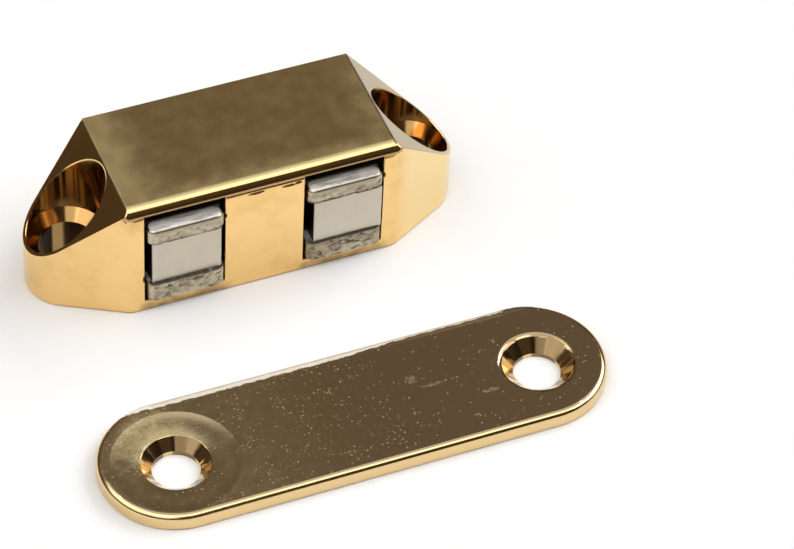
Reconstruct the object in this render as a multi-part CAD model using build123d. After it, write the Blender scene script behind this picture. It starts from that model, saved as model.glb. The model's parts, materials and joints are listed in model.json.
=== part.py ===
from build123d import *
from math import asin, atan2, cos, hypot, radians, sin, tan
import os

# A double magnetic catch and the strike plate that goes with it, in millimetres.
# Origin: centre of the catch's mounting face, midway between its two screw holes.
# +X runs from one screw ear to the other, -Y is the way the magnets face, and +Z is
# away from the panel that the catch is screwed to.
# The catch is one casting, sized around two magnet packs that float in its pockets.

# ---- magnet packs: a block magnet between two stamped pole plates
lower_pole_thickness = 2.65
ridge_height = 0.5            # an upper pole's front end stands above the rest of the plate
ridge_depth = 2.15            # from the front edge to the back of the ridge
upper_pole_thickness = 2.0    # over the ridge
pole_depth = 12.0             # from its front edge to its back edge
pole_corner_radius = 1.0      # at the front corners, and at all four corners of a ridge
ridge_radius = 0.6            # round a ridge's top
pole_edge_radius = 0.15       # along a lower pole's bottom edge
pole_stand_out = 0.6          # poles stand out of the front wall, and can be pushed in flush
magnet_height = 6.15
left_magnet_recess = 0.25     # behind the poles' front edges
right_magnet_recess = 0.15
magnet_back_recess = 1.2      # in front of the poles' back edges
magnet_chamfer = 0.2
running_gap = 0.15            # under the pack, and at both ends of its travel

# ---- windows and pockets
window_width = 9.3
window_step = 0.85            # a pocket is wider than its window by this on each side
pole_side_clearance = 0.2     # each side of a pole's neck, in the window
shoulder_clearance = 0.4      # each side of a pole's shoulders, in the pocket
magnet_side_clearance = 0.52  # each side of a magnet, in the window
headroom = 1.95               # over a ridge
loading_clearance = 0.6       # behind a pack, when it is set back to go in from below
pillar_width = 7.5            # between the two pockets

# Each loose piece lies this much to one side in its pocket.
left_shifts = {"upper_pole": 0.08, "magnet": 0.12, "lower_pole": 0.08}
right_shifts = {"upper_pole": 0.1, "magnet": 0.4, "lower_pole": 0.08}

# ---- walls and edges of the housing
front_wall = 1.6
back_wall = 1.8
top_wall = 1.1
pocket_inset = 0.7            # from a pocket to the end of the flat top
shoulder_radius = 2.0         # where the ears' tapers leave the straight sides
front_edge_radius = 1.4       # long front edge of the top, which runs down into the windows
back_edge_radius = 0.3        # long back edge of the top
foot_chamfer = 0.25           # round the mounting face
polish_radius = 0.15          # round the slopes
window_edge_radius = 0.12     # round the windows' front edges

# ---- screw ears
nose_radius = 4.83            # each ear ends in this radius, about its screw hole
nose_wall = 0.43              # left between the head bore and the nose
ear_land = 0.32               # from the head bore to the end of the flat top
screw_bore_radius = 3.2
screw_bore_depth = 5.2        # straight hole, up to the foot of the countersink
countersink_angle = 90.0
nose_rise = 0.9               # wall at the nose, over the foot of the countersink
rim_chamfer = 0.1             # broken edge where the head bores come out in the slopes

# ---- base plate, bent from sheet, which closes the pockets from below
sheet_thickness = 1.0
plate_recess = 0.5            # the plate lies inside the mounting face
plate_clearance = 0.1         # round its edge
side_ledge = 0.8              # the plate bears on the housing at the ends and the back
sill_ledge = 0.5              # and along the front
bend_radius = 0.3             # inside the bend of each tab, where a pole's square edge must go
tab_width = 7.0
tab_relief = 0.4              # slot on each side of a tab
peg_radius = 1.2              # cast pegs, peened over the plate
peg_spacing = 7.0
peg_clearance = 0.05
peg_head_radius = 2.0
peg_head_recess = 0.1         # the peened heads lie inside the mounting face

# ---- strike plate, lying on its back in front of the catch
strike_length = 57.7
strike_width = 16.8
strike_thickness = 2.0
strike_edge_radius = 0.7      # round the face
strike_foot_radius = 0.35     # round the back
ground_width = 1.2            # the straight edge nearer the catch was ground off this far in
ground_depth = 0.5            # and this far down
strike_centre_x = 1.8
strike_gap = 14.5             # between the catch's front wall and the plate's back edge
strike_hole_radius = 2.62
strike_left_inset = 8.35      # left hole, from the plate's left end
strike_right_inset = 7.75     # right hole, from the plate's right end
strike_hole_offset = 0.5      # both holes lie in front of the plate's centre line
strike_left_sink_radius = 3.8
strike_right_sink_radius = 4.1
strike_left_rim_radius = 0.15
strike_right_rim_radius = 0.8
dish_reach = 3.2              # the punch drew the face down this far round the left sink
dish_angle = 8.0              # slope of the drawn face where it is steepest, halfway in

# ---- worked out from the above
overshoot = 1.0               # cuts run this far past the faces that they open
near = 0.01                   # centres this close together are the same
head_bore_radius = nose_radius - nose_wall
sink_slope = tan(radians(countersink_angle / 2))
head_bore_floor = screw_bore_depth + (head_bore_radius - screw_bore_radius) / sink_slope
nose_height = screw_bore_depth + nose_rise

pocket_width = window_width + 2 * window_step
pocket_x = (pillar_width + pocket_width) / 2
half_top = pillar_width / 2 + pocket_width + pocket_inset
half_length = half_top + ear_land + head_bore_radius + nose_radius
screw_x = half_length - nose_radius
half_width = (front_wall + pole_depth + loading_clearance + back_wall) / 2

sill_height = plate_recess + sheet_thickness
pack_bottom = sill_height + running_gap
magnet_bottom = pack_bottom + lower_pole_thickness
upper_pole_bottom = magnet_bottom + magnet_height
window_top = upper_pole_bottom + upper_pole_thickness + headroom
body_height = window_top + top_wall

pocket_front = -half_width + front_wall
pocket_back = half_width - back_wall
pole_front = -half_width - pole_stand_out
pole_back = pole_front + pole_depth
shoulder_front = pocket_front + running_gap

rebate_front = pocket_front - sill_ledge
rebate_back = pocket_back + side_ledge
rebate_half_length = pocket_x + pocket_width / 2 + side_ledge
tab_front = pole_back + pole_stand_out + running_gap
tab_back = tab_front + sheet_thickness
tab_top = upper_pole_bottom + upper_pole_thickness / 2
bend_start = tab_front - bend_radius

strike_centre_y = -half_width - strike_gap - strike_width / 2
dish_radius = dish_reach / 2 / sin(radians(dish_angle))
dish_depth = 2 * dish_radius * (1 - cos(radians(dish_angle)))


def box_between(low, high):
    """A box from its lowest to its highest corner."""
    size = [b - a for a, b in zip(low, high)]
    return Pos(*low) * Box(*size, align=(Align.MIN, Align.MIN, Align.MIN))


def upright(radius, low, high, x=0.0, y=0.0):
    """A round bar along Z from one height to another."""
    bar = Cylinder(radius, high - low, align=(Align.CENTER, Align.CENTER, Align.MIN))
    return Pos(x, y, low) * bar


def flare(low_radius, high_radius, low, high, x=0.0, y=0.0):
    """A cone along Z from one height to another."""
    cone = Cone(low_radius, high_radius, high - low, align=(Align.CENTER, Align.CENTER, Align.MIN))
    return Pos(x, y, low) * cone


def plan_outline():
    """The catch seen from above: straight sides, and ears that taper to round noses."""
    reach = hypot(screw_x - half_top, half_width)
    taper = atan2(half_width, screw_x - half_top) - asin(nose_radius / reach)
    touch_x = screw_x + nose_radius * sin(taper)
    touch_y = nose_radius * cos(taper)
    edges = [Line((-half_top, y), (half_top, y)) for y in (-half_width, half_width)]
    for end in (-1, 1):
        tip = (end * half_length, 0)
        edges.append(ThreePointArc((end * touch_x, -touch_y), tip, (end * touch_x, touch_y)))
        for side in (-1, 1):
            shoulder = (end * half_top, side * half_width)
            edges.append(Line(shoulder, (end * touch_x, side * touch_y)))
    outline = make_face(Curve() + edges)
    shoulders = outline.vertices().filter_by(lambda v: abs(v.Y) > nose_radius)
    return fillet(shoulders, shoulder_radius)


def side_profile():
    """The catch seen from the front: flat top, and a straight slope down over each ear."""
    profile = Polyline(
        (-half_length, 0),
        (half_length, 0),
        (half_length, nose_height),
        (half_top, body_height),
        (-half_top, body_height),
        (-half_length, nose_height),
        close=True,
    )
    return Plane.XZ * make_face(profile)


def cross_section():
    """The catch cut across: square, with the two long edges of the top rounded."""
    section = Pos(0, body_height / 2) * Rectangle(2 * half_width, body_height)
    front = section.vertices().sort_by_distance((-half_width, body_height))[0]
    section = fillet(front, front_edge_radius)
    back = section.vertices().sort_by_distance((half_width, body_height))[0]
    section = fillet(back, back_edge_radius)
    return Plane.YZ * section


def slope(body, end):
    """The flat face that slants down over one ear."""
    flats = body.faces().filter_by(GeomType.PLANE)
    return flats.sort_by(lambda face: end * face.normal_at().X + face.normal_at().Z)[-1]


def housing_block():
    """The outside of the housing, before any hole is made in it."""
    block = extrude(plan_outline(), body_height)
    block &= extrude(side_profile(), half_width, both=True)
    block &= extrude(cross_section(), half_length, both=True)
    foot = block.faces().sort_by(Axis.Z)[0]
    block = chamfer(foot.edges(), foot_chamfer)
    for end in (-1, 1):
        block = fillet(slope(block, end).outer_wire().edges(), polish_radius)
    return block


def screw_hole(x):
    """What is cut out of one ear: straight hole, countersink and head bore."""
    hole = upright(screw_bore_radius, -overshoot, screw_bore_depth, x)
    hole += flare(screw_bore_radius, head_bore_radius, screw_bore_depth, head_bore_floor, x)
    return hole + upright(head_bore_radius, head_bore_floor, body_height + overshoot, x)


def break_rim(body, end):
    """A small chamfer where one head bore comes out in its slope."""
    rim = slope(body, end).inner_wires()[0]
    return chamfer(rim.edges(), rim_chamfer)


def pocket(x):
    """What is cut out behind one window, open below, and the window itself."""
    half_pocket = pocket_width / 2
    half_window = window_width / 2
    chamber = box_between(
        (x - half_pocket, pocket_front, -overshoot), (x + half_pocket, pocket_back, window_top)
    )
    window = box_between(
        (x - half_window, -half_width - overshoot, sill_height),
        (x + half_window, pocket_front + overshoot, window_top),
    )
    return chamber + window


def round_a_window(edge):
    """Whether an edge lies on the outside of the front wall, round one of the windows."""
    middle = edge.center()
    beside = abs(abs(middle.X) - pocket_x) < window_width / 2 + near
    outside = middle.Y < (pocket_front - half_width) / 2
    return beside and outside and sill_height - near < middle.Z < window_top + near


def housing():
    """The one casting: block, screw ears, pockets, rebate for the base plate, and pegs."""
    body = housing_block()
    for end in (-1, 1):
        body -= screw_hole(end * screw_x)
        body = break_rim(body, end)
        body -= pocket(end * pocket_x)
    body -= box_between(
        (-rebate_half_length, rebate_front, -overshoot), (rebate_half_length, rebate_back, sill_height)
    )
    body = fillet(body.edges().filter_by(round_a_window), window_edge_radius)
    for y in (-peg_spacing / 2, peg_spacing / 2):
        body += upright(peg_radius, plate_recess, sill_height, y=y)
        body += upright(peg_head_radius, peg_head_recess, plate_recess, y=y)
    return body


def tab(x):
    """One tab of the base plate: sheet that turns up behind a magnet pack."""
    start = bend_start - bend_radius
    outline = Polyline(
        (start, plate_recess),
        (tab_back, plate_recess),
        (tab_back, tab_top),
        (tab_front, tab_top),
        (tab_front, sill_height),
        (start, sill_height),
        close=True,
    )
    sheet = make_face(outline)
    inside = sheet.vertices().sort_by_distance((tab_front, sill_height))[0]
    sheet = fillet(inside, bend_radius)
    outside = sheet.vertices().sort_by_distance((tab_back, plate_recess))[0]
    sheet = fillet(outside, bend_radius + sheet_thickness)
    return Pos(x, 0, 0) * extrude(Plane.YZ * sheet, tab_width / 2, both=True)


def base_plate():
    """Sheet plate that closes both pockets, with a tab behind each pack."""
    half = rebate_half_length - plate_clearance
    plate = box_between(
        (-half, rebate_front + plate_clearance, plate_recess),
        (half, rebate_back - plate_clearance, sill_height),
    )
    half_slot = tab_width / 2 + tab_relief
    for x in (-pocket_x, pocket_x):
        plate -= box_between((x - half_slot, bend_start, 0), (x + half_slot, half_width, body_height))
        plate += tab(x)
    for y in (-peg_spacing / 2, peg_spacing / 2):
        plate -= upright(peg_radius + peg_clearance, 0, body_height, y=y)
    return plate


def pole_plate(thickness):
    """A stamped plate: neck through the window, shoulders behind the front wall."""
    half_neck = window_width / 2 - pole_side_clearance
    half_shoulders = pocket_width / 2 - shoulder_clearance
    plate = box_between((-half_neck, pole_front, 0), (half_neck, pole_back, thickness))
    corners = plate.edges().filter_by(Axis.Z).group_by(Axis.Y)[0]
    plate = fillet(corners, pole_corner_radius)
    plate += box_between(
        (-half_shoulders, shoulder_front, 0), (half_shoulders, pole_back, thickness)
    )
    return plate


def lower_pole():
    """Plain plate, with its bottom edge broken in front of the shoulders."""
    plate = pole_plate(lower_pole_thickness)
    bottom = plate.edges().group_by(Axis.Z)[0]
    broken = bottom.filter_by(lambda edge: edge.center().Y < shoulder_front - running_gap)
    return fillet(broken, pole_edge_radius)


def upper_pole():
    """Plate with a ridge across its front end, rounded all the way about."""
    half_neck = window_width / 2 - pole_side_clearance
    ridge_back = pole_front + ridge_depth
    ridge = box_between(
        (-half_neck, pole_front, 0), (half_neck, ridge_back, upper_pole_thickness)
    )
    ridge = fillet(ridge.edges().filter_by(Axis.Z), pole_corner_radius)
    ridge = fillet(ridge.edges().group_by(Axis.Z)[-1], ridge_radius)
    return pole_plate(upper_pole_thickness - ridge_height) + ridge


def magnet(front_recess):
    """Block magnet, standing a little back from the poles' front edges."""
    half = window_width / 2 - magnet_side_clearance
    front = pole_front + front_recess
    back = pole_back - magnet_back_recess
    block = box_between((-half, front, 0), (half, back, magnet_height))
    return chamfer(block.edges().filter_by(Axis.Z), magnet_chamfer)


def magnet_pack(x, shifts, front_recess):
    """The three pieces of one pack by name, stacked in the pocket at x."""
    return {
        "lower_pole": Pos(x + shifts["lower_pole"], 0, pack_bottom) * lower_pole(),
        "magnet": Pos(x + shifts["magnet"], 0, magnet_bottom) * magnet(front_recess),
        "upper_pole": Pos(x + shifts["upper_pole"], 0, upper_pole_bottom) * upper_pole(),
    }


def dish(sink_radius):
    """What the punch pressed in round one sink: down from the face, and level again at the rim."""
    brink = (sink_radius + dish_reach, 0)
    middle = (sink_radius + dish_reach / 2, -dish_depth / 2)
    rim = (sink_radius, -dish_depth)
    edges = [
        RadiusArc(brink, middle, dish_radius),
        RadiusArc(middle, rim, -dish_radius),
        Polyline(rim, (0, -dish_depth), (0, overshoot), (brink[0], overshoot), brink),
    ]
    return revolve(Plane.XZ * make_face(edges), Axis.Z)


def sink(plate, x, y, top, sink_radius, rim_radius):
    """Cuts one countersunk hole, whose rim the punch left round."""
    foot = top - (sink_radius - strike_hole_radius) / sink_slope
    plate -= upright(strike_hole_radius, -overshoot, top, x, y)
    plate -= flare(strike_hole_radius, sink_radius, foot, top, x, y)
    circles = plate.edges().filter_by(GeomType.CIRCLE)
    rims = circles.filter_by(lambda edge: (edge.arc_center - Vector(x, y, top)).length < near)
    return fillet(rims.sort_by(lambda edge: edge.radius)[0], rim_radius)


def ground_off():
    """What was ground off one long edge of the strike plate's face, where it is straight."""
    edge = strike_width / 2
    outline = Polyline(
        (edge - ground_width, strike_thickness),
        (edge + ground_width, strike_thickness - 2 * ground_depth),
        (edge + ground_width, strike_thickness + overshoot),
        (edge - ground_width, strike_thickness + overshoot),
        close=True,
    )
    straight = (strike_length - strike_width) / 2
    return extrude(Plane.YZ * make_face(outline), straight, both=True)


def strike_plate():
    """Round-ended plate with two countersunk holes, which aren't quite alike."""
    plate = extrude(SlotOverall(strike_length, strike_width), strike_thickness)
    plate = fillet(plate.faces().sort_by(Axis.Z)[-1].edges(), strike_edge_radius)
    plate = fillet(plate.faces().sort_by(Axis.Z)[0].edges(), strike_foot_radius)
    plate -= ground_off()
    left_x = -strike_length / 2 + strike_left_inset
    right_x = strike_length / 2 - strike_right_inset
    y = -strike_hole_offset
    plate -= Pos(left_x, y, strike_thickness) * dish(strike_left_sink_radius)
    rim_height = strike_thickness - dish_depth
    plate = sink(plate, left_x, y, rim_height, strike_left_sink_radius, strike_left_rim_radius)
    plate = sink(
        plate, right_x, y, strike_thickness, strike_right_sink_radius, strike_right_rim_radius
    )
    return Pos(strike_centre_x, strike_centre_y, 0) * plate


pieces = {"housing": housing(), "base_plate": base_plate(), "strike_plate": strike_plate()}
packs = (
    ("left", -pocket_x, left_shifts, left_magnet_recess),
    ("right", pocket_x, right_shifts, right_magnet_recess),
)
for side, x, shifts, front_recess in packs:
    for name, solid in magnet_pack(x, shifts, front_recess).items():
        pieces[f"{side}_{name}"] = solid

os.makedirs("parts", exist_ok=True)
for name, solid in pieces.items():
    export_step(solid, f"parts/{name}.step")
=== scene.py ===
"""Finishes a double magnetic catch and its strike plate, and stands them in a small studio."""
import json
import math

import bmesh
import bpy
from bpy.props import FloatProperty, FloatVectorProperty, PointerProperty
from bpy.types import NodeSocket, Operator, Panel, PropertyGroup
from mathutils import Matrix, Vector, noise


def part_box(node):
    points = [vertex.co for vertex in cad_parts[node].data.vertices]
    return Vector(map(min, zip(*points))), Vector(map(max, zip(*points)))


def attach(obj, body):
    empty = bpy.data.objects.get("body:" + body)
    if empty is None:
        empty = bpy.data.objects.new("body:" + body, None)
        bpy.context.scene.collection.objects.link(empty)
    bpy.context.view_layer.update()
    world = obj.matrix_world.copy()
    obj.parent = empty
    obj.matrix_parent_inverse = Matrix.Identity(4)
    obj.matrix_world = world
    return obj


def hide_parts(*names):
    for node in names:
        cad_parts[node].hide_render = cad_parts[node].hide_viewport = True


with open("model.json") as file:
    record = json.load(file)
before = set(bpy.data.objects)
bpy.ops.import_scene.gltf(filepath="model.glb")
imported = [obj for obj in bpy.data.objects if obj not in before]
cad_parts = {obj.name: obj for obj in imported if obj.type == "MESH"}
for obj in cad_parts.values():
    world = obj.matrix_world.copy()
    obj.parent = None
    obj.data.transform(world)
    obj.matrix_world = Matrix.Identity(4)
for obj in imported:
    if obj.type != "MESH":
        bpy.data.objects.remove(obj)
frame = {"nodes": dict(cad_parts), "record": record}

bl_info = {
    "name": "Magnetic Catch",
    "version": (1, 0, 0),
    "blender": (4, 5, 0),
    "location": "View3D > Sidebar > Catch",
    "description": "Plates, wears and lights a double magnetic catch with its strike plate",
    "category": "Object",
}

MM = 0.001
HOUSING_LOW, HOUSING_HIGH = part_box("housing")
STRIKE_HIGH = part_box("strike_plate")[1]
SIDES = ("left", "right")
MOUNTS = {mount["name"]: mount for mount in frame["record"]["mounts"]}
HEAD_BORE_WALL = 0.43 * MM  # between a head bore and the outside of its ear
SCREW_HOLE_TOP = 5.2 * MM  # where a straight screw hole ends, at the foot of its countersink
TOP_END = 15.39 * MM  # x at which the flat top gives way to the right slope
STRIKE_SINKS = (3.8 * MM, 4.1 * MM)  # radii of the left and the right sink
GROUND_WIDTH = 1.2 * MM  # of the strike plate's ground edge
BEHIND_RIDGE = 2.2 * MM  # from the front of a pole plate to just behind its ridge
POLE_FACET = 0.13 * MM
MAGNET_EDGE = 0.12 * MM  # bevel on the edges of a magnet
AIM = Vector((14.2, -12.3, 0)) * MM  # middle of the group, where the camera points

# Wear that differs between the pole plates: how torn the front is, and how wide the dirt at the seam is.
POLE_WEAR = {
    "left_upper_pole": (0.55, 0.30 * MM),
    "right_upper_pole": (0.55, 0.50 * MM),
    "left_lower_pole": (0.75, 0.18 * MM),
    "right_lower_pole": (1.1, 0.18 * MM),
}

# Colours that stay as they are.
# Painted reflection on the right slope: darker at its top than at its foot.
SLOPE_FOOT = (0.63, 0.50, 0.29, 1)
SLOPE_TOP = (0.47, 0.37, 0.22, 1)
# Painted reflections in the screw holes: dark stripes, a bright streak and a dark streak.
BORE_PAINTED_STRIPE = (0.16, 0.07, 0.025, 1)
HOLE_PAINTED_HIGHLIGHT = (0.85, 0.60, 0.26, 1)
HOLE_PAINTED_DARK = (0.05, 0.025, 0.01, 1)
# Painted shade: near black inside the pockets.
POCKET_SHADE = (0.02, 0.017, 0.015, 1)
# Painted reflection: dark stripes in the strike plate's sinks.
SINK_PAINTED_STRIPE = (0.13, 0.075, 0.035, 1)
# Painted glints: the palest flecks, round the left hole.
PALE_FLECK = (0.97, 0.90, 0.66, 1)
GROUND_BURR = (0.26, 0.20, 0.12, 1)
GROUND_RIM = (0.42, 0.32, 0.19, 1)
STEEL_PALE = (0.97, 0.94, 0.88, 1)
STEEL_STREAK = (0.46, 0.42, 0.38, 1)
ZINC_BRIGHT = (0.58, 0.58, 0.57, 1)
ZINC_DULL = (0.49, 0.49, 0.48, 1)
MAGNET_SIDE = (0.05, 0.045, 0.04, 1)
PAPER_LOW = (0.90, 0.91, 0.92, 1)
PAPER_HIGH = (0.93, 0.94, 0.95, 1)
WHITE = (1, 1, 1, 1)

# The lights overhead, as spans of x and of y over the height: the panel and the two lamps beside it.
PANEL = ((-0.25, 0.75), (-0.60, 0.58))
RIGHT_LAMP = ((0.80, 2.2), (-0.65, 0.75))
LEFT_LAMP = ((-1.7, -0.30), (-0.65, 0.65))
WINDOW_WAY = Vector((-0.42, -0.60, 0.68)).normalized()

# Chips in the plating: centre and reach, in millimetres.
CHIPS = (
    ((-1.0, -8.0, 13.95), (1.0, 0.5, 0.22)),
    ((2.75, -8.0, 13.85), (0.9, 0.5, 0.24)),
    ((3.8, -8.0, 13.95), (0.5, 0.5, 0.28)),
    ((-16.0, -8.0, 14.2), (0.25, 0.5, 0.2)),
    ((-14.0, -8.0, 5.0), (0.15, 0.4, 0.6)),
    ((-4.58, -8.0, 11.6), (0.22, 0.4, 0.4)),
    ((13.93, -8.0, 11.7), (0.25, 0.4, 0.5)),
)

# Scuffs on the strike plate's face: centre and reach, in millimetres.
SCUFFS = (
    ((8.9, -29.1, 2.0), (0.75, 0.7, 0.5)),
    ((10.9, -30.5, 2.0), (1.6, 0.25, 0.5)),
    ((10.7, -25.4, 2.0), (0.3, 0.22, 0.5)),
    ((16.4, -33.4, 2.0), (1.3, 0.35, 0.5)),
)


# ---- settings


class PlatingSettings(PropertyGroup):
    """Brass plating of the housing."""

    colour: FloatVectorProperty(
        name="Brass", description="Colour of the polished plating", subtype="COLOR",
        size=4, min=0, max=1, default=(0.90, 0.61, 0.257, 1),
    )
    tarnish: FloatVectorProperty(
        name="Tarnish", description="Colour where the plating has dulled", subtype="COLOR",
        size=4, min=0, max=1, default=(0.83, 0.545, 0.215, 1),
    )
    # Painted shade: a darker colour under the round edge and at the foot by the packs.
    painted_shade: FloatVectorProperty(
        name="Stain", description="Colour of the stains under the round edge and at the foot",
        subtype="COLOR",
        size=4, min=0, max=1, default=(0.34, 0.22, 0.10, 1),
    )
    chip: FloatVectorProperty(
        name="Chip", description="Colour where the plating is gone", subtype="COLOR",
        size=4, min=0, max=1, default=(0.09, 0.042, 0.013, 1),
    )
    brushed: FloatVectorProperty(
        name="Brushed top", description="Colour of the brushed top", subtype="COLOR",
        size=4, min=0, max=1, default=(0.87, 0.70, 0.35, 1),
    )
    # Painted light: the right ear is painted paler, as where more light falls on it.
    pale: FloatVectorProperty(
        name="Pale end", description="Colour of the paler plating on the right ear", subtype="COLOR",
        size=4, min=0, max=1, default=(0.93, 0.71, 0.35, 1),
    )
    # Painted shade: the screw holes are painted a darker brown than the plating.
    bore: FloatVectorProperty(
        name="Bores", description="Colour of the unpolished screw holes", subtype="COLOR",
        size=4, min=0, max=1, default=(0.56, 0.33, 0.12, 1),
    )
    polish: FloatProperty(
        name="Polish", description="Roughness of the polished sides", subtype="FACTOR",
        min=0, max=1, default=0.12,
    )
    satin: FloatProperty(
        name="Satin", description="Roughness of the brushed top", subtype="FACTOR",
        min=0, max=1, default=0.185,
    )
    ripple: FloatProperty(
        name="Ripple", description="Height of the ripples that polishing left", unit="LENGTH",
        min=0, default=0.0012 * MM,
    )


class StrikeSettings(PropertyGroup):
    """Plating of the strike plate."""

    colour: FloatVectorProperty(
        name="Bronze", description="Colour of the plating", subtype="COLOR",
        size=4, min=0, max=1, default=(0.74, 0.59, 0.38, 1),
    )
    polish: FloatProperty(
        name="Polish", description="Roughness where the face is least worn", subtype="FACTOR",
        min=0, max=1, default=0.12,
    )
    side: FloatVectorProperty(
        name="Side", description="Colour of the plating on the sides and in the sinks", subtype="COLOR",
        size=4, min=0, max=1, default=(0.78, 0.58, 0.29, 1),
    )
    # The worn-face colour also paints the highlight of the halo round the left hole.
    olive: FloatVectorProperty(
        name="Worn face", description="Colour where the face is worn, nearer the left hole",
        subtype="COLOR", size=4, min=0, max=1, default=(0.86, 0.74, 0.37, 1),
    )
    ground: FloatVectorProperty(
        name="Ground edge", description="Colour of the bare ground edge", subtype="COLOR",
        size=4, min=0, max=1, default=(0.95, 0.90, 0.79, 1),
    )
    # The fleck colours paint glints.
    fleck: FloatVectorProperty(
        name="Flecks", description="Colour of the fine light flecks", subtype="COLOR",
        size=4, min=0, max=1, default=(0.55, 0.46, 0.28, 1),
    )
    fleck_spacing: FloatProperty(
        name="Fleck spacing", description="Average distance between flecks", unit="LENGTH",
        min=0.0001, default=0.26 * MM,
    )


class SteelSettings(PropertyGroup):
    """Steel of the pole plates."""

    colour: FloatVectorProperty(
        name="Steel", description="Colour of the bare steel", subtype="COLOR",
        size=4, min=0, max=1, default=(0.60, 0.55, 0.43, 1),
    )
    rust: FloatVectorProperty(
        name="Stain", description="Colour of the stains on the cut faces", subtype="COLOR",
        size=4, min=0, max=1, default=(0.27, 0.205, 0.12, 1),
    )
    # This colour also paints the shade behind the ridge, besides the dirt.
    grime_and_shade: FloatVectorProperty(
        name="Grime", description="Colour of the dirt in the torn edges", subtype="COLOR",
        size=4, min=0, max=1, default=(0.055, 0.038, 0.024, 1),
    )


class MagnetSettings(PropertyGroup):
    """The two block magnets."""

    colour: FloatVectorProperty(
        name="Magnet", description="Colour of the magnets' ground faces", subtype="COLOR",
        size=4, min=0, max=1, default=(0.64, 0.585, 0.495, 1),
    )


class StudioSettings(PropertyGroup):
    """Camera, floor and light."""

    azimuth: FloatProperty(
        name="Azimuth", description="Way that the camera looks, from +Y towards +X",
        subtype="ANGLE", default=math.radians(24.16),
    )
    pitch: FloatProperty(
        name="Pitch", description="How far down the camera looks", subtype="ANGLE",
        default=math.radians(46.26),
    )
    roll: FloatProperty(
        name="Roll", description="Turn of the camera about its own axis", subtype="ANGLE",
        default=math.radians(3.14),
    )
    distance: FloatProperty(
        name="Distance", description="From the camera to the floor along its axis",
        unit="LENGTH", default=0.44504,
    )
    lens: FloatProperty(
        name="Lens", description="Focal length on a sensor 36 mm wide, in millimetres",
        default=181.4,
    )
    floor_size: FloatProperty(
        name="Floor", description="Side of the square floor", unit="LENGTH", default=8.0,
    )
    panel: FloatProperty(
        name="Panel", description="Strength of the panel overhead", min=0, default=1.9,
    )
    right_lamp: FloatProperty(
        name="Right lamp", description="Strength of the lamp on the right", min=0, default=3.6,
    )
    left_lamp: FloatProperty(
        name="Left lamp", description="Strength of the lamp on the left", min=0, default=1.7,
    )
    far_part: FloatProperty(
        name="Far part", description="Share of its strength that the panel has over the back",
        subtype="FACTOR", min=0, max=1, default=0.30,
    )
    room: FloatVectorProperty(
        name="Room", description="Colour of the dark room", subtype="COLOR",
        size=4, min=0, max=1, default=(0.060, 0.042, 0.030, 1),
    )
    wall: FloatVectorProperty(
        name="Wall", description="Light that the wall behind adds to the room", subtype="COLOR",
        size=4, min=0, max=1, default=(0.075, 0.062, 0.048, 1),
    )


# ---- nodes


def add_node(tree, kind, inputs=None, **settings):
    """Adds one node; inputs maps a socket's name or number to a value or to another socket."""
    node = tree.nodes.new(kind)
    for key, value in settings.items():
        setattr(node, key, value)
    for key, value in (inputs or {}).items():
        plug(tree, value, node.inputs[key])
    return node


def plug(tree, value, socket):
    """Links a socket, or sets a plain value."""
    if isinstance(value, NodeSocket):
        tree.links.new(value, socket)
    else:
        socket.default_value = value


def maths(tree, operation, *values):
    """The result of one Math node."""
    return add_node(tree, "ShaderNodeMath", dict(enumerate(values)), operation=operation).outputs[0]


def vector_maths(tree, operation, *values):
    """One Vector Math node."""
    return add_node(tree, "ShaderNodeVectorMath", dict(enumerate(values)), operation=operation)


def product(tree, first, *others):
    """Several values multiplied together."""
    for value in others:
        first = maths(tree, "MULTIPLY", first, value)
    return first


def largest(tree, first, *others):
    """The largest of several values."""
    for value in others:
        first = maths(tree, "MAXIMUM", first, value)
    return first


def split(tree, vector):
    """A vector's X, Y and Z."""
    return add_node(tree, "ShaderNodeSeparateXYZ", {"Vector": vector}).outputs


def span(tree, value, low, high, to_low=0.0, to_high=1.0):
    """A value mapped smoothly from one span to another."""
    inputs = {"Value": value, "From Min": low, "From Max": high, "To Min": to_low, "To Max": to_high}
    node = add_node(tree, "ShaderNodeMapRange", inputs, interpolation_type="SMOOTHSTEP")
    return node.outputs["Result"]


def mix(tree, share, first, second):
    """Two colours mixed by a share."""
    node = add_node(tree, "ShaderNodeMix", data_type="RGBA")
    plug(tree, share, node.inputs["Factor"])
    plug(tree, first, node.inputs[6])
    plug(tree, second, node.inputs[7])
    return node.outputs[2]


def cloud(tree, place, size, detail=2.0, roughness=0.5, stretch=(1, 1, 1)):
    """Noise whose lumps are about this size, in metres."""
    scaled = add_node(tree, "ShaderNodeMapping", {"Vector": place, "Scale": stretch})
    inputs = {"Vector": scaled.outputs[0], "Scale": 1 / size, "Detail": detail, "Roughness": roughness}
    return add_node(tree, "ShaderNodeTexNoise", inputs).outputs["Fac"]


def bump(tree, height, depth, normal=None):
    """A bump whose full height is this deep, in metres."""
    inputs = {"Height": height, "Distance": depth, "Strength": 1.0}
    if normal is not None:
        inputs["Normal"] = normal
    return add_node(tree, "ShaderNodeBump", inputs).outputs[0]


def new_material(name, **values):
    """A material with one Principled shader, its plain values, and the object's coordinates."""
    material = bpy.data.materials.new(name)
    material.use_nodes = True
    tree = material.node_tree
    tree.nodes.clear()
    shader = add_node(tree, "ShaderNodeBsdfPrincipled", values)
    add_node(tree, "ShaderNodeOutputMaterial", {"Surface": shader.outputs[0]})
    place = add_node(tree, "ShaderNodeTexCoord").outputs["Object"]
    return material, tree, shader, place


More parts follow.
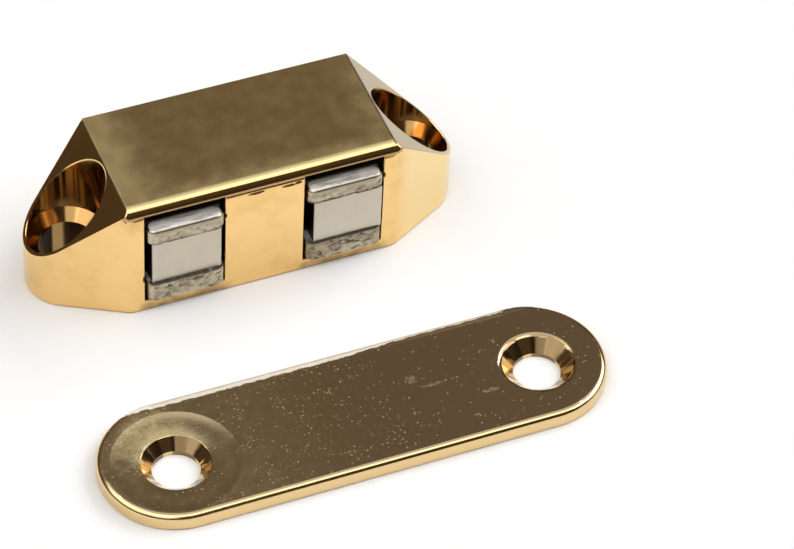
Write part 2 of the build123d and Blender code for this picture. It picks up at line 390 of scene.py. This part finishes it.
def spot(tree, place, centre, reach):
    """1 inside an uneven oval at this place, with this reach along each axis, in millimetres."""
    inputs = {"Vector": place, "Scale": 1 / (0.45 * MM), "Detail": 2.0}
    wobble = add_node(tree, "ShaderNodeTexNoise", inputs).outputs["Fac"]
    offset = vector_maths(tree, "SUBTRACT", place, Vector(centre) * MM).outputs[0]
    scaled = vector_maths(tree, "DIVIDE", offset, Vector(reach) * MM).outputs[0]
    away = vector_maths(tree, "LENGTH", scaled).outputs["Value"]
    return span(tree, maths(tree, "ADD", away, wobble), 1.5, 1.15)


def spots(tree, place, places):
    """1 inside any of several such ovals."""
    return largest(tree, *[spot(tree, place, centre, reach) for centre, reach in places])


def screws(name):
    """The places of a mount's two screws."""
    mount = MOUNTS[name]
    aside = Vector((mount["dims"]["spacing_x_mm"] / 2 * MM, 0, 0))
    middle = Vector(mount["pos_m"])
    return middle - aside, middle + aside


def round_axis(tree, place, centre):
    """Distance from an upright axis, and the way that leads from it."""
    offset = vector_maths(tree, "SUBTRACT", place, centre).outputs[0]
    level = vector_maths(tree, "MULTIPLY", offset, (1, 1, 0)).outputs[0]
    away = vector_maths(tree, "LENGTH", level).outputs["Value"]
    return away, vector_maths(tree, "NORMALIZE", level).outputs[0]


def chatter(tree, place, centres, radii):
    """1 inside the round holes, and the height of the flutes that the tool left round their walls."""
    insides = []
    height = None
    not_under = span(tree, facing_parts(tree)["Z"], -0.6, -0.4)
    for centre, radius in zip(centres, radii):
        away, way = round_axis(tree, place, centre)
        inside = product(tree, maths(tree, "LESS_THAN", away, radius + 0.02 * MM), not_under)
        flutes = product(tree, cloud(tree, way, 0.55, 1.5), inside)
        height = flutes if height is None else maths(tree, "ADD", height, flutes)
        insides.append(inside)
    return largest(tree, *insides), height


def facing_parts(tree):
    """The way that the surface faces, split into X, Y and Z."""
    return split(tree, add_node(tree, "ShaderNodeNewGeometry").outputs["Normal"])


def plating_material(settings):
    """Brass plating: polished sides, a brushed top, a right ear painted paler as painted light, bores with
    painted shade and painted reflection stripes, and pockets painted near black as painted shade.
    """
    material, tree, shader, place = new_material("brass_plating")
    shader.inputs["Specular IOR Level"].default_value = 0.1
    where = split(tree, place)
    facing = facing_parts(tree)
    upright = span(tree, maths(tree, "ABSOLUTE", facing["Z"]), 0.4, 0.2, 0.25, 0.8)
    top = span(tree, where["Z"], HOUSING_HIGH.z - 0.22 * MM, HOUSING_HIGH.z - 0.06 * MM)
    dulled = span(tree, cloud(tree, place, 3 * MM, 4.0, 0.6), 0.45, 0.75)
    ear_screws = screws("housing_screws")
    bore_radius = HOUSING_HIGH.x - ear_screws[1].x - HEAD_BORE_WALL
    bored, flutes = chatter(tree, place, ear_screws, (bore_radius, bore_radius))
    chips = spots(tree, place, CHIPS)
    pocket_shade = inside_pockets(tree, where)

    colour = mix(tree, dulled, tuple(settings.colour), tuple(settings.tarnish))
    colour = mix(tree, top, colour, tuple(settings.brushed))
    colour = right_ear(tree, where, facing, colour, settings)
    colour = mix(tree, top_end_line(tree, where), colour, tuple(settings.chip))
    # Painted shade and painted reflection stripes in the bores.
    colour = mix(tree, bored, colour, painted_bore_walls(tree, where, flutes, upright, settings))
    # Painted shade under the round edge and at the foot.
    colour = with_painted_shade(tree, place, where, colour, settings)
    colour = mix(tree, chips, colour, tuple(settings.chip))
    # Painted shade: the inside of the pockets is painted near black.
    plug(tree, mix(tree, pocket_shade, colour, POCKET_SHADE), shader.inputs["Base Color"])

    plug(tree, maths(tree, "SUBTRACT", 1.0, chips), shader.inputs["Metallic"])
    polish = span(tree, dulled, 0, 1, settings.polish, settings.polish * 1.4)
    roughness = add_node(tree, "ShaderNodeMix", data_type="FLOAT")
    for key, value in (("Factor", top), (2, polish), (3, brushed_roughness(tree, place, where, settings))):
        plug(tree, value, roughness.inputs[key])
    rough = largest(tree, roughness.outputs[0], product(tree, chips, 0.5), pocket_shade)
    plug(tree, rough, shader.inputs["Roughness"])

    normal = bump(tree, cloud(tree, place, 5 * MM, 1.0), settings.ripple * 8)
    ripples = product(tree, cloud(tree, place, 0.8 * MM, 3.0), span(tree, top, 0, 1, 1.0, 0.15))
    normal = bump(tree, ripples, settings.ripple, normal)
    normal = bump(tree, product(tree, flutes, upright), 0.30 * MM, normal)
    plug(tree, bump(tree, maths(tree, "SUBTRACT", 1.0, chips), 0.03 * MM, normal), shader.inputs["Normal"])
    return material


def right_ear(tree, where, facing, colour, settings):
    """The colour with a paler right ear, which is painted light, and its slope painted darker as a painted
    reflection, laid over it.
    """
    # Painted light: the right end is painted paler.
    right_end = span(tree, where["X"], HOUSING_HIGH.x - 9.5 * MM, HOUSING_HIGH.x - 7 * MM)
    colour = mix(tree, right_end, colour, tuple(settings.pale))
    # Painted reflection: the right slope is painted darker, more so towards the top, for the darker things
    # that it reflects.
    slope = product(tree, span(tree, facing["X"], 0.3, 0.4), span(tree, facing["Z"], 0.2, 0.3))
    dull = mix(tree, span(tree, where["Z"], 6 * MM, 14 * MM), SLOPE_FOOT, SLOPE_TOP)
    return mix(tree, slope, colour, dull)


def top_end_line(tree, where):
    """The dark line along the top's right end."""
    from_top = maths(tree, "SUBTRACT", HOUSING_HIGH.z, where["Z"])
    close = span(tree, where["X"], TOP_END - 0.06 * MM, TOP_END)
    return product(tree, close, span(tree, from_top, 0.24 * MM, 0.16 * MM), 0.85)


def painted_bore_walls(tree, where, flutes, upright, settings):
    """Painted reflections in the bores: dark brown stripes on the painted-shade brown of the head bore and
    countersink, and bright and dark stripes in the straight hole below.
    """
    stripes = product(tree, span(tree, flutes, 0.46, 0.56), upright)
    walls = mix(tree, stripes, tuple(settings.bore), BORE_PAINTED_STRIPE)
    deep = span(tree, where["Z"], SCREW_HOLE_TOP, SCREW_HOLE_TOP - 0.1 * MM)
    return mix(tree, deep, walls, mix(tree, span(tree, flutes, 0.50, 0.42), HOLE_PAINTED_HIGHLIGHT, HOLE_PAINTED_DARK))


def with_painted_shade(tree, place, where, colour, settings):
    """The colour with the front's two bands of painted shade: under the round edge, and at the foot by the
    packs.
    """
    height = where["Z"]
    top = HOUSING_HIGH.z
    front = span(tree, where["Y"], HOUSING_LOW.y + 0.5 * MM, HOUSING_LOW.y + 0.4 * MM)
    # Painted shade under the round edge.
    shade_under_round = product(
        tree, span(tree, height, top - 1.25 * MM, top - 1.05 * MM),
        span(tree, height, top - 0.50 * MM, top - 0.70 * MM), front, 0.75,
    )
    colour = mix(tree, shade_under_round, colour, tuple(settings.painted_shade))
    # Painted shade at the foot by the packs, broken up by noise, where the floor in front lies in shadow.
    shade_blots = span(tree, cloud(tree, place, 1.2 * MM, 3.0), 0.3, 0.7, 0.45, 1.0)
    low_down = span(tree, height, 1.7 * MM, 0.5 * MM)
    foot = product(tree, low_down, beside_packs(tree, where, -0.9 * MM, 1.6 * MM), shade_blots, front)
    return mix(tree, foot, colour, tuple(settings.painted_shade))


def brushed_roughness(tree, place, where, settings):
    """Roughness of the brushed top, which rises towards its ends and its front."""
    across = where["X"]
    from_left = span(tree, across, HOUSING_LOW.x + 9 * MM, HOUSING_LOW.x + 17 * MM, 1, 0)
    from_right = span(tree, across, HOUSING_HIGH.x - 15 * MM, HOUSING_HIGH.x - 9 * MM, 0, 0.5)
    from_front = span(tree, where["Y"], HOUSING_LOW.y + 1 * MM, HOUSING_LOW.y + 4.5 * MM, 0.7, 0)
    edge = largest(tree, from_left, from_right, from_front)
    mottle = span(tree, cloud(tree, place, 2.6 * MM, 3.0, 0.6), 0.25, 0.75, -0.02, 0.06)
    return maths(tree, "ADD", span(tree, edge, 0, 1, settings.satin, settings.satin + 0.14), mottle)


def beside_packs(tree, where, extra, soft=0.01 * MM):
    """1 where x lies within one of the two packs and this much beyond, with soft edges."""
    masks = []
    for side in SIDES:
        low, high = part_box(f"{side}_upper_pole")
        middle = (low.x + high.x) / 2
        from_middle = maths(tree, "ABSOLUTE", maths(tree, "SUBTRACT", where["X"], middle))
        edge = (high.x - low.x) / 2 + extra
        masks.append(span(tree, from_middle, edge + soft, edge))
    return largest(tree, *masks)


def inside_pockets(tree, where):
    """1 inside the two pockets of the housing and 0 outside."""
    beside = beside_packs(tree, where, 1 * MM)
    under = maths(tree, "LESS_THAN", where["Z"], HOUSING_HIGH.z - 0.9 * MM)
    over = maths(tree, "GREATER_THAN", where["Z"], 0.3 * MM)
    within = maths(tree, "LESS_THAN", maths(tree, "ABSOLUTE", where["Y"]), HOUSING_HIGH.y - 0.35 * MM)
    return product(tree, beside, under, over, within)


def strike_material(settings):
    """Bronze-coloured plating: worn towards the left, with a painted highlight and painted glints in flecks
    round the left hole, painted reflection stripes in the sinks, and bare on the ground edge.
    """
    material, tree, shader, place = new_material("strike_plating")
    where = split(tree, place)
    facing = facing_parts(tree)
    face = span(tree, facing["Z"], 0.90, 0.97)
    upward = span(tree, facing["Z"], 0.6, 0.8)
    left, right = screws("strike_screws")
    sunk, flutes = chatter(tree, place, (left, right), STRIKE_SINKS)
    level = maths(tree, "SUBTRACT", 1.0, sunk)
    away, _ = round_axis(tree, place, left + Vector((-1.2, 3.4, 0)) * MM)
    # Painted highlight: a lighter halo round the left hole, laid into the worn colour and the flecks.
    halo = product(tree, span(tree, away, 6.8 * MM, 2.0 * MM, 0.0, 0.95), level)
    lumps = span(tree, cloud(tree, place, 1.4 * MM, 5.0, 0.65), 0.30, 0.70, 0.45, 1.0)
    leftward = span(tree, where["X"], 6 * MM, -18 * MM, 0.0, 0.42)
    # Wear towards the left, together with the painted highlight of the halo.
    worn = product(tree, largest(tree, leftward, halo), lumps, level)
    # Painted glints: fine pale flecks, set together with the scuffs.
    bright = product(tree, flecks(tree, place, where, halo, settings), face, 0.5)
    specks = largest(tree, bright, scuffs(tree, place))

    colour = mix(tree, worn, tuple(settings.colour), tuple(settings.olive))
    colour = mix(tree, face, tuple(settings.side), colour)
    # Painted reflection: dark stripes in the sinks.
    stripes = span(tree, flutes, 0.50, 0.42, 0.0, 0.80)
    colour = mix(tree, sunk, colour, mix(tree, stripes, tuple(settings.side), SINK_PAINTED_STRIPE))
    colour = mix(tree, specks, colour, mix(tree, halo, tuple(settings.fleck), PALE_FLECK))
    burr, ground, rim = ground_edge(tree, place, where, upward)
    colour = mix(tree, burr, colour, GROUND_BURR)
    colour = mix(tree, ground, colour, tuple(settings.ground))
    colour = mix(tree, rim, colour, GROUND_RIM)
    plug(tree, colour, shader.inputs["Base Color"])

    matt = largest(tree, product(tree, specks, 0.9), product(tree, ground, 0.75))
    plug(tree, maths(tree, "SUBTRACT", 1.0, matt), shader.inputs["Metallic"])
    rough = maths(tree, "ADD", settings.polish, product(tree, worn, 0.20))
    rough = maths(tree, "ADD", rough, product(tree, halo, lumps, 0.07))
    rough = largest(tree, rough, product(tree, matt, 0.6), product(tree, burr, 0.4))
    plug(tree, rough, shader.inputs["Roughness"])
    sparkle = maths(tree, "ADD", worn, product(tree, halo, 0.8))
    normal = bump(tree, product(tree, cloud(tree, place, 0.22 * MM, 3.0, 0.6), sparkle), 0.018 * MM)
    plug(tree, bump(tree, flutes, 0.14 * MM, normal), shader.inputs["Normal"])
    return material


def flecks(tree, place, where, halo, settings):
    """Painted glints: fine pale flecks, which crowd in patches and round the left hole."""
    cells = add_node(
        tree, "ShaderNodeTexVoronoi", {"Vector": place, "Scale": 1 / settings.fleck_spacing},
    ).outputs
    chance = add_node(tree, "ShaderNodeSeparateColor", {"Color": cells["Color"]}).outputs
    patches = span(tree, cloud(tree, place, 3.5 * MM, 3.0, 0.6), 0.36, 0.64, 0.08, 0.80)
    leftward = span(tree, where["X"], 16 * MM, -8 * MM, 0.25, 1.0)
    crowd = largest(tree, product(tree, patches, leftward), product(tree, halo, 0.55))
    chosen = maths(tree, "LESS_THAN", chance["Red"], crowd)
    within = maths(tree, "LESS_THAN", cells["Distance"], span(tree, chance["Green"], 0.4, 1, 0.18, 0.48))
    return product(tree, chosen, product(tree, within, span(tree, chance["Blue"], 0.2, 1, 0.12, 0.80)))


def scuffs(tree, place):
    """Faint scuffs on the strike plate's face."""
    broken = span(tree, cloud(tree, place, 0.3 * MM, 3.0), 0.35, 0.7, 0.0, 0.35)
    return product(tree, spots(tree, place, SCUFFS), broken)


def ground_edge(tree, place, where, upward):
    """Where the ground edge has its dark burr, its bare metal and its thin brown rim."""
    inner = STRIKE_HIGH.y - GROUND_WIDTH
    jagged = span(tree, cloud(tree, place, 0.7 * MM, 3.0), 0.3, 0.7, -0.12 * MM, 0.12 * MM)
    burr = product(tree, span(tree, where["Y"], inner, inner + 0.05 * MM), upward)
    narrowed = span(tree, where["X"], 2 * MM, 12 * MM, 0.12 * MM, 0.70 * MM)
    inward = maths(tree, "SUBTRACT", maths(tree, "ADD", where["Y"], jagged), narrowed)
    ground = product(tree, span(tree, inward, inner, inner + 0.1 * MM), upward)
    outer = maths(tree, "ADD", where["Y"], product(tree, jagged, 0.6))
    rim = span(tree, outer, STRIKE_HIGH.y - 0.42 * MM, STRIKE_HIGH.y - 0.32 * MM)
    return burr, ground, product(tree, rim, upward, 0.5)


def steel_material(settings):
    """Stamped steel: satin on top, torn at the front, black with dirt in the seams, and painted black shade
    behind the ridge.
    """
    material, tree, shader, place = new_material("pole_steel", Metallic=1.0)
    where = split(tree, place)
    torn = add_node(tree, "ShaderNodeAttribute", attribute_name="torn").outputs["Fac"]
    seam = add_node(tree, "ShaderNodeAttribute", attribute_name="seam").outputs["Fac"]
    patches = span(tree, cloud(tree, place, 1.5 * MM, 4.0, 0.6, (0.5, 1, 1)), 0.36, 0.66, 0.0, 0.85)
    bare = mix(tree, product(tree, patches, torn), tuple(settings.colour), tuple(settings.rust))
    flat = product(tree, span(tree, facing_parts(tree)["Z"], 0.80, 0.97), maths(tree, "SUBTRACT", 1.0, seam))
    streaks = span(tree, cloud(tree, place, 0.45 * MM, 4.0, 0.6, (0.15, 1, 1)), 0.40, 0.68)
    bare = mix(tree, flat, bare, mix(tree, streaks, STEEL_PALE, STEEL_STREAK))
    dirt = maths(tree, "ADD", cloud(tree, place, 0.5 * MM, 4.0, 0.7, (0.5, 1, 1)), product(tree, torn, 0.17))
    # Painted shade: the plate is painted black behind its ridge, where it lies under the header.
    ridge_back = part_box("left_upper_pole")[0].y + BEHIND_RIDGE
    behind = span(tree, where["Y"], ridge_back - 0.1 * MM, ridge_back + 0.3 * MM)
    grime_and_shade = largest(tree, span(tree, dirt, 0.62, 0.84), seam, behind)
    plug(tree, mix(tree, grime_and_shade, bare, tuple(settings.grime_and_shade)), shader.inputs["Base Color"])
    matt = largest(tree, product(tree, flat, 0.7), seam, behind)
    plug(tree, maths(tree, "SUBTRACT", 1.0, matt), shader.inputs["Metallic"])
    smooth = span(tree, flat, 0, 1, 0.30, 0.62)
    plug(tree, span(tree, largest(tree, grime_and_shade, torn), 0, 1, smooth, 0.6), shader.inputs["Roughness"])
    plug(tree, bump(tree, cloud(tree, place, 0.15 * MM, 4.0, 0.6), 0.005 * MM), shader.inputs["Normal"])
    return material


def sheet_material():
    """Zinc-plated sheet of the base plate, with faint rolling marks and dull patches."""
    material, tree, shader, place = new_material("zinc_sheet", Metallic=1.0)
    patches = span(tree, cloud(tree, place, 3 * MM, 4.0, 0.6), 0.35, 0.70)
    colour = mix(tree, patches, ZINC_BRIGHT, ZINC_DULL)
    plug(tree, colour, shader.inputs["Base Color"])
    plug(tree, span(tree, patches, 0, 1, 0.32, 0.50), shader.inputs["Roughness"])
    marks = cloud(tree, place, 0.3 * MM, 3.0, 0.6, (0.05, 1, 1))
    plug(tree, bump(tree, marks, 0.003 * MM), shader.inputs["Normal"])
    return material


def magnet_material(settings):
    """Ground magnet: a pale, matt, faintly clouded front, and dark sides."""
    material, tree, shader, place = new_material("magnet", Metallic=1.0, Roughness=0.42)
    streaks = cloud(tree, place, 0.6 * MM, 3.0, 0.6, (1, 1, 0.15))
    clouds = span(tree, cloud(tree, place, 2.5 * MM, 2.0), 0.3, 0.7, 0.0, 0.6)
    darker = tuple(part * 0.92 for part in settings.colour[:3]) + (1,)
    olive = (settings.colour[0] * 0.98, settings.colour[1], settings.colour[2] * 0.96, 1)
    colour = mix(tree, streaks, darker, tuple(settings.colour))
    colour = mix(tree, clouds, colour, olive)
    ahead = span(tree, facing_parts(tree)["Y"], -0.55, -0.80)
    plug(tree, mix(tree, ahead, MAGNET_SIDE, colour), shader.inputs["Base Color"])
    return material


def floor_material():
    """White paper, which shows as white and still keeps the shadows."""
    material, tree, shader, place = new_material("paper", Roughness=0.9)
    fibres = cloud(tree, place, 2 * MM, 2.0)
    plug(tree, mix(tree, fibres, PAPER_LOW, PAPER_HIGH), shader.inputs["Base Color"])
    return material


# ---- operators


class CATCH_OT_finish_housing(Operator):
    """Plate the housing"""

    bl_idname = "catch.finish_housing"
    bl_label = "Housing"

    def execute(self, context):
        housing = frame["nodes"]["housing"]
        housing.material_slots[0].material = plating_material(context.scene.catch_plating)
        return {"FINISHED"}


class CATCH_OT_finish_strike_plate(Operator):
    """Plate the strike plate"""

    bl_idname = "catch.finish_strike_plate"
    bl_label = "Strike plate"

    def execute(self, context):
        plate = frame["nodes"]["strike_plate"]
        plate.material_slots[0].material = strike_material(context.scene.catch_strike)
        return {"FINISHED"}


class CATCH_OT_finish_steel(Operator):
    """Finish the pole plates and the base plate"""

    bl_idname = "catch.finish_steel"
    bl_label = "Steel plates"

    def execute(self, context):
        steel = steel_material(context.scene.catch_steel)
        frame["nodes"]["base_plate"].material_slots[0].material = sheet_material()
        for side in SIDES:
            for level in ("upper", "lower"):
                build_pole(context.scene, side, level, steel)
        return {"FINISHED"}


def dense_copy(scene, name, node, facet):
    """A new object with a node's solid shape in small, even facets."""
    source = bpy.data.objects.new(name, frame["nodes"][node].data.copy())
    scene.collection.objects.link(source)
    remesh = source.modifiers.new("Facets", "REMESH")
    remesh.mode = "VOXEL"
    remesh.voxel_size = facet
    depsgraph = bpy.context.evaluated_depsgraph_get()
    mesh = bpy.data.meshes.new_from_object(source.evaluated_get(depsgraph))
    source.modifiers.clear()
    source.data = mesh
    return source


def build_pole(scene, side, level, steel):
    """One stamped pole plate, with torn front edge, that stands for its node."""
    node = f"{side}_{level}_pole"
    pole = dense_copy(scene, f"{node}_plate", node, POLE_FACET)
    low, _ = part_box(node)
    magnet_low, magnet_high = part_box(f"{side}_magnet")
    seam = magnet_high.z if level == "upper" else magnet_low.z
    reach = 1.5 * MM if level == "upper" else 3 * MM
    worn, dirty = POLE_WEAR[node]
    torn = pole.data.attributes.new("torn", "FLOAT", "POINT")
    seams = pole.data.attributes.new("seam", "FLOAT", "POINT")
    neck = low.y + BEHIND_RIDGE
    moved = []
    for number, vertex in enumerate(pole.data.vertices):
        place = vertex.co.copy()
        from_seam = abs(place.z - seam)
        front = 1 - min(1, max(0, (place.y - low.y - 0.15 * MM) / (0.9 * MM)))
        cut = front * min(1, max(0, (reach - from_seam) / (0.3 * MM)))
        rough = noise.fractal(place / (0.55 * MM), 0.6, 2.1, 4)
        dents = max(0, noise.noise(place / (0.9 * MM)) - 0.15)
        lip = max(0, 1 - from_seam / dirty)
        torn.data[number].value = min(1, cut * (worn + 0.6 * rough) + lip * front)
        seams.data[number].value = min(1, max(0, lip * front * (1.5 + rough)))
        if place.y < neck:
            push = cut * (0.035 * rough + 0.16 * dents) + 0.006 * rough
            moved.append((vertex, push * MM))
    for vertex, push in moved:
        vertex.co -= vertex.normal * max(-0.02 * MM, push)
    pole.data.materials.clear()
    pole.data.materials.append(steel)
    pole.data.shade_smooth()
    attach(pole, f"{side}_pack")
    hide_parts(node)


class CATCH_OT_finish_magnets(Operator):
    """Finish the magnets"""

    bl_idname = "catch.finish_magnets"
    bl_label = "Magnets"

    def execute(self, context):
        magnet = magnet_material(context.scene.catch_magnet)
        for side in SIDES:
            block = frame["nodes"][f"{side}_magnet"]
            block.material_slots[0].material = magnet
            block.modifiers.new("Weld", "WELD")
            edges = block.modifiers.new("Edges", "BEVEL")
            edges.width = MAGNET_EDGE
            edges.segments = 3
        return {"FINISHED"}


class CATCH_OT_set_studio(Operator):
    """Make the floor, the light and the camera"""

    bl_idname = "catch.set_studio"
    bl_label = "Studio"

    def execute(self, context):
        settings = context.scene.catch_studio
        make_floor(context.scene, settings)
        make_surroundings(context.scene, settings)
        make_camera(context.scene, settings)
        context.scene.view_settings.view_transform = "Standard"
        return {"FINISHED"}


def make_floor(scene, settings):
    """A square sheet under the object."""
    mesh = bpy.data.meshes.new("floor")
    sheet = bmesh.new()
    bmesh.ops.create_grid(sheet, x_segments=8, y_segments=8, size=settings.floor_size / 2)
    sheet.to_mesh(mesh)
    sheet.free()
    mesh.materials.append(floor_material())
    floor = bpy.data.objects.new("floor", mesh)
    scene.collection.objects.link(floor)


def patch(tree, across, along, width, depth):
    """1 inside a soft-edged rectangle on the ceiling, in parts of the ceiling's height."""
    soft = 0.12
    masks = []
    for value, (low, high) in ((across, width), (along, depth)):
        masks.append(span(tree, value, low - soft, low))
        masks.append(span(tree, value, high + soft, high))
    return product(tree, *masks)


def make_surroundings(scene, settings):
    """A dark warm room round a white sweep, with a panel overhead between two lamps."""
    world = bpy.data.worlds.new("studio")
    scene.world = world
    world.use_nodes = True
    tree = world.node_tree
    tree.nodes.clear()
    way = add_node(tree, "ShaderNodeTexCoord").outputs["Generated"]
    parts = split(tree, way)
    rise = maths(tree, "MAXIMUM", parts["Z"], 0.01)
    across = maths(tree, "DIVIDE", parts["X"], rise)
    along = maths(tree, "DIVIDE", parts["Y"], rise)
    panel = patch(tree, across, along, *PANEL)
    near = span(tree, along, 0.04, -0.10, settings.far_part, 1.0)
    right = patch(tree, across, along, *RIGHT_LAMP)
    left = patch(tree, across, along, *LEFT_LAMP)
    wall = product(tree, span(tree, parts["Y"], 0.1, 0.5), span(tree, rise, 0.35, 0.65))
    towards = vector_maths(tree, "DOT_PRODUCT", way, WINDOW_WAY).outputs["Value"]
    window = span(tree, towards, 0.955, 0.975)
    sweep = span(tree, parts["Z"], math.sin(math.radians(5)), math.sin(math.radians(4)))
    lights = (
        (settings.room, 1.0),
        (settings.wall, wall),
        (WHITE, product(tree, panel, near, settings.panel)),
        (WHITE, product(tree, right, settings.right_lamp)),
        (WHITE, product(tree, left, settings.left_lamp)),
        (WHITE, window),
        (WHITE, sweep),
    )
    total = None
    for colour, level in lights:
        light = add_node(tree, "ShaderNodeBackground", {"Color": tuple(colour), "Strength": level})
        if total is None:
            total = light
        else:
            total = add_node(tree, "ShaderNodeAddShader", {0: total.outputs[0], 1: light.outputs[0]})
    add_node(tree, "ShaderNodeOutputWorld", {"Surface": total.outputs[0]})


def make_camera(scene, settings):
    """A camera with a long lens, aimed at the middle of the group on the floor."""
    data = bpy.data.cameras.new("camera")
    data.sensor_width = 36
    data.lens = settings.lens
    camera = bpy.data.objects.new("camera", data)
    scene.collection.objects.link(camera)
    turn = (
        Matrix.Rotation(-settings.azimuth, 4, "Z")
        @ Matrix.Rotation(math.pi / 2 - settings.pitch, 4, "X")
        @ Matrix.Rotation(settings.roll, 4, "Z")
    )
    back = turn @ Vector((0, 0, settings.distance))
    camera.matrix_world = Matrix.Translation(AIM + back) @ turn
    scene.camera = camera


class CATCH_PT_panel(Panel):
    """Settings and steps of the catch"""

    bl_idname = "CATCH_PT_panel"
    bl_label = "Magnetic catch"
    bl_space_type = "VIEW_3D"
    bl_region_type = "UI"
    bl_category = "Catch"

    def draw(self, context):
        for operator, group in STEPS:
            box = self.layout.box()
            box.operator(operator.bl_idname)
            settings = getattr(context.scene, group)
            for key in settings.bl_rna.properties.keys():
                if key not in ("rna_type", "name"):
                    box.prop(settings, key)


GROUPS = {
    "catch_plating": PlatingSettings,
    "catch_strike": StrikeSettings,
    "catch_steel": SteelSettings,
    "catch_magnet": MagnetSettings,
    "catch_studio": StudioSettings,
}
STEPS = (
    (CATCH_OT_finish_housing, "catch_plating"),
    (CATCH_OT_finish_strike_plate, "catch_strike"),
    (CATCH_OT_finish_steel, "catch_steel"),
    (CATCH_OT_finish_magnets, "catch_magnet"),
    (CATCH_OT_set_studio, "catch_studio"),
)


def register():
    for name, group in GROUPS.items():
        bpy.utils.register_class(group)
        setattr(bpy.types.Scene, name, PointerProperty(type=group))
    for operator, _ in STEPS:
        bpy.utils.register_class(operator)
    bpy.utils.register_class(CATCH_PT_panel)


def unregister():
    bpy.utils.unregister_class(CATCH_PT_panel)
    for operator, _ in reversed(STEPS):
        bpy.utils.unregister_class(operator)
    for name, group in GROUPS.items():
        delattr(bpy.types.Scene, name)
        bpy.utils.unregister_class(group)


def main():
    """Registers the add-on and takes its steps in order."""
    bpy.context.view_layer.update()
    register()
    for operator, _ in STEPS:
        group, name = operator.bl_idname.split(".")
        getattr(getattr(bpy.ops, group), name)()


if __name__ == "__main__":
    main()
